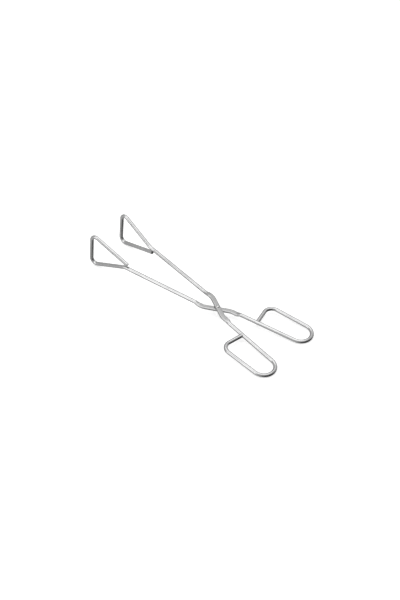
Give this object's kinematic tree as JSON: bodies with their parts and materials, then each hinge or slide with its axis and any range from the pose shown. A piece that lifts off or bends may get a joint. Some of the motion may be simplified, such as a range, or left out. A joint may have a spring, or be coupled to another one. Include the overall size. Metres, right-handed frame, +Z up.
{
  "type": "crucible tongs",
  "caption": "Scissor-action laboratory tongs of bent round rod, with upright triangular jaws and long finger loops, turning on a riveted lap.",
  "frame": {"origin": "centre of the bounding box, on the bench plane that the tongs lie on", "axes": "+X along the tongs towards the finger loops, +Z up from the bench, jaws at -X; the upper half's jaw is on the +Y side"},
  "size_m": [0.2996, 0.1068, 0.0497],
  "materials": {
    "rod_steel": "bright drawn stainless rod, satin on the pressed flats",
    "rivet_steel": "bright, lightly hammered"
  },
  "bodies": {
    "upper": {"upper_half": "rod_steel", "pivot_rivet": "rivet_steel"},
    "lower": {"lower_half": "rod_steel"}
  },
  "joints": [
    {"name": "pivot", "type": "hinge", "parent": "upper", "child": "lower", "pos_m": [0.03526, 0, 0.01119], "axis": [0.078, 0, 0.997], "range_deg": [-15.9, 110]}
  ]
}
